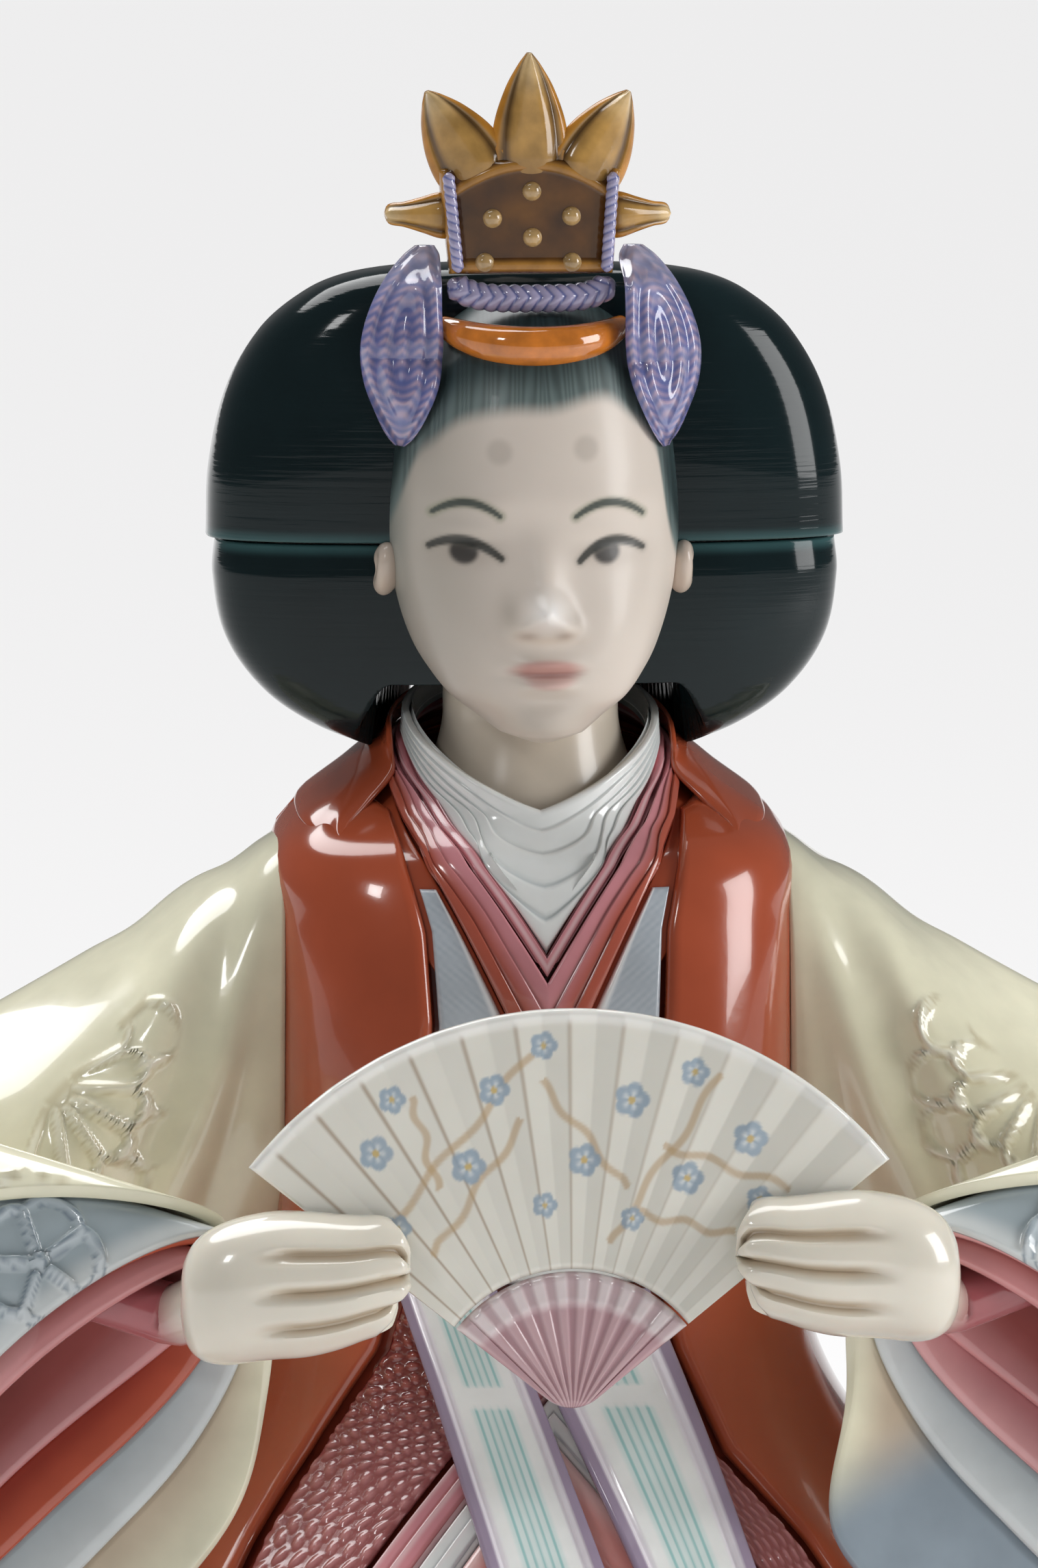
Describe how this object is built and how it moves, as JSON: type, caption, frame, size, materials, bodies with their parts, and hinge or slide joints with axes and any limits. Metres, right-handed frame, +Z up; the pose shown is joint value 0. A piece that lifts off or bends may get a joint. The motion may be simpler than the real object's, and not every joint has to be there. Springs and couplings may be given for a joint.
{
  "type": "hina doll",
  "caption": "Seated court doll in layered robes of glazed porcelain, with a rounded hairstyle, a leafed crown and an open fan held in both hands.",
  "frame": {"origin": "middle of the flat underside, on the neck's axis", "axes": "+Z up along the neck, -Y the way the doll faces, +X towards the viewer's right when the doll is seen from the front"},
  "size_m": [0.2536, 0.204, 0.2845],
  "materials": {
    "cream_glaze": "glossy ivory glaze",
    "coat_glaze": "glossy orange-red glaze",
    "lining_glaze": "glossy dark red glaze",
    "pink_glaze": "glossy pink glaze",
    "coral_glaze": "glossy coral glaze",
    "white_glaze": "glossy white glaze",
    "grey_glaze": "glossy grey-blue glaze",
    "skin_glaze": "glossy warm white glaze",
    "hair_glaze": "glossy green-black glaze",
    "gold_glaze": "glossy amber brown glaze",
    "band_glaze": "glossy orange glaze",
    "cord_glaze": "glossy blue-violet glaze",
    "root_glaze": "glossy pale pink glaze"
  },
  "bodies": {
    "figure": {"brocade_front": "lining_glaze", "coat_back": "coat_glaze", "coat_left": "coat_glaze", "coat_right": "coat_glaze", "collar_pink": "pink_glaze", "collar_red": "coat_glaze", "collar_white": "white_glaze", "cuff_grey_left": "grey_glaze", "cuff_grey_right": "grey_glaze", "cuff_pink_left": "pink_glaze", "cuff_pink_right": "pink_glaze", "cuff_red_left": "coat_glaze", "cuff_red_right": "coat_glaze", "hair_tail_lower": "hair_glaze", "hair_tail_upper": "hair_glaze", "hair_tie": "white_glaze", "hand_left": "skin_glaze", "hand_right": "skin_glaze", "hem_coral": "coral_glaze", "hem_pink": "pink_glaze", "hem_white": "white_glaze", "lapel_left": "grey_glaze", "lapel_right": "grey_glaze", "robe_body": "lining_glaze", "sash_band": "white_glaze", "sash_left": "white_glaze", "sash_right": "white_glaze", "sleeve_left": "cream_glaze", "sleeve_right": "cream_glaze", "train": "white_glaze"},
    "head": {"head": "skin_glaze", "hair_lower": "hair_glaze", "hair_upper": "hair_glaze", "head_band": "band_glaze"},
    "crown": {"crown_plate": "gold_glaze", "crown_roll": "cord_glaze", "crown_cord_left": "cord_glaze", "crown_cord_right": "cord_glaze", "cord_loop_left": "cord_glaze", "cord_loop_right": "cord_glaze"},
    "fan": {"fan_leaf": "white_glaze", "fan_sticks": "root_glaze"}
  },
  "joints": [
    {"name": "head_turn", "type": "hinge", "parent": "figure", "child": "head", "pos_m": [0, 0, 0.174], "axis": [0, 0, 1], "range_deg": [-12, 12]},
    {"name": "crown_lift", "type": "slide", "parent": "head", "child": "crown", "axis": [0, 0, 1], "range_m": [0, 0.015]},
    {"name": "fan_lift", "type": "slide", "parent": "figure", "child": "fan", "axis": [0, 0.108, 0.9942], "range_m": [0, 0.03]}
  ]
}
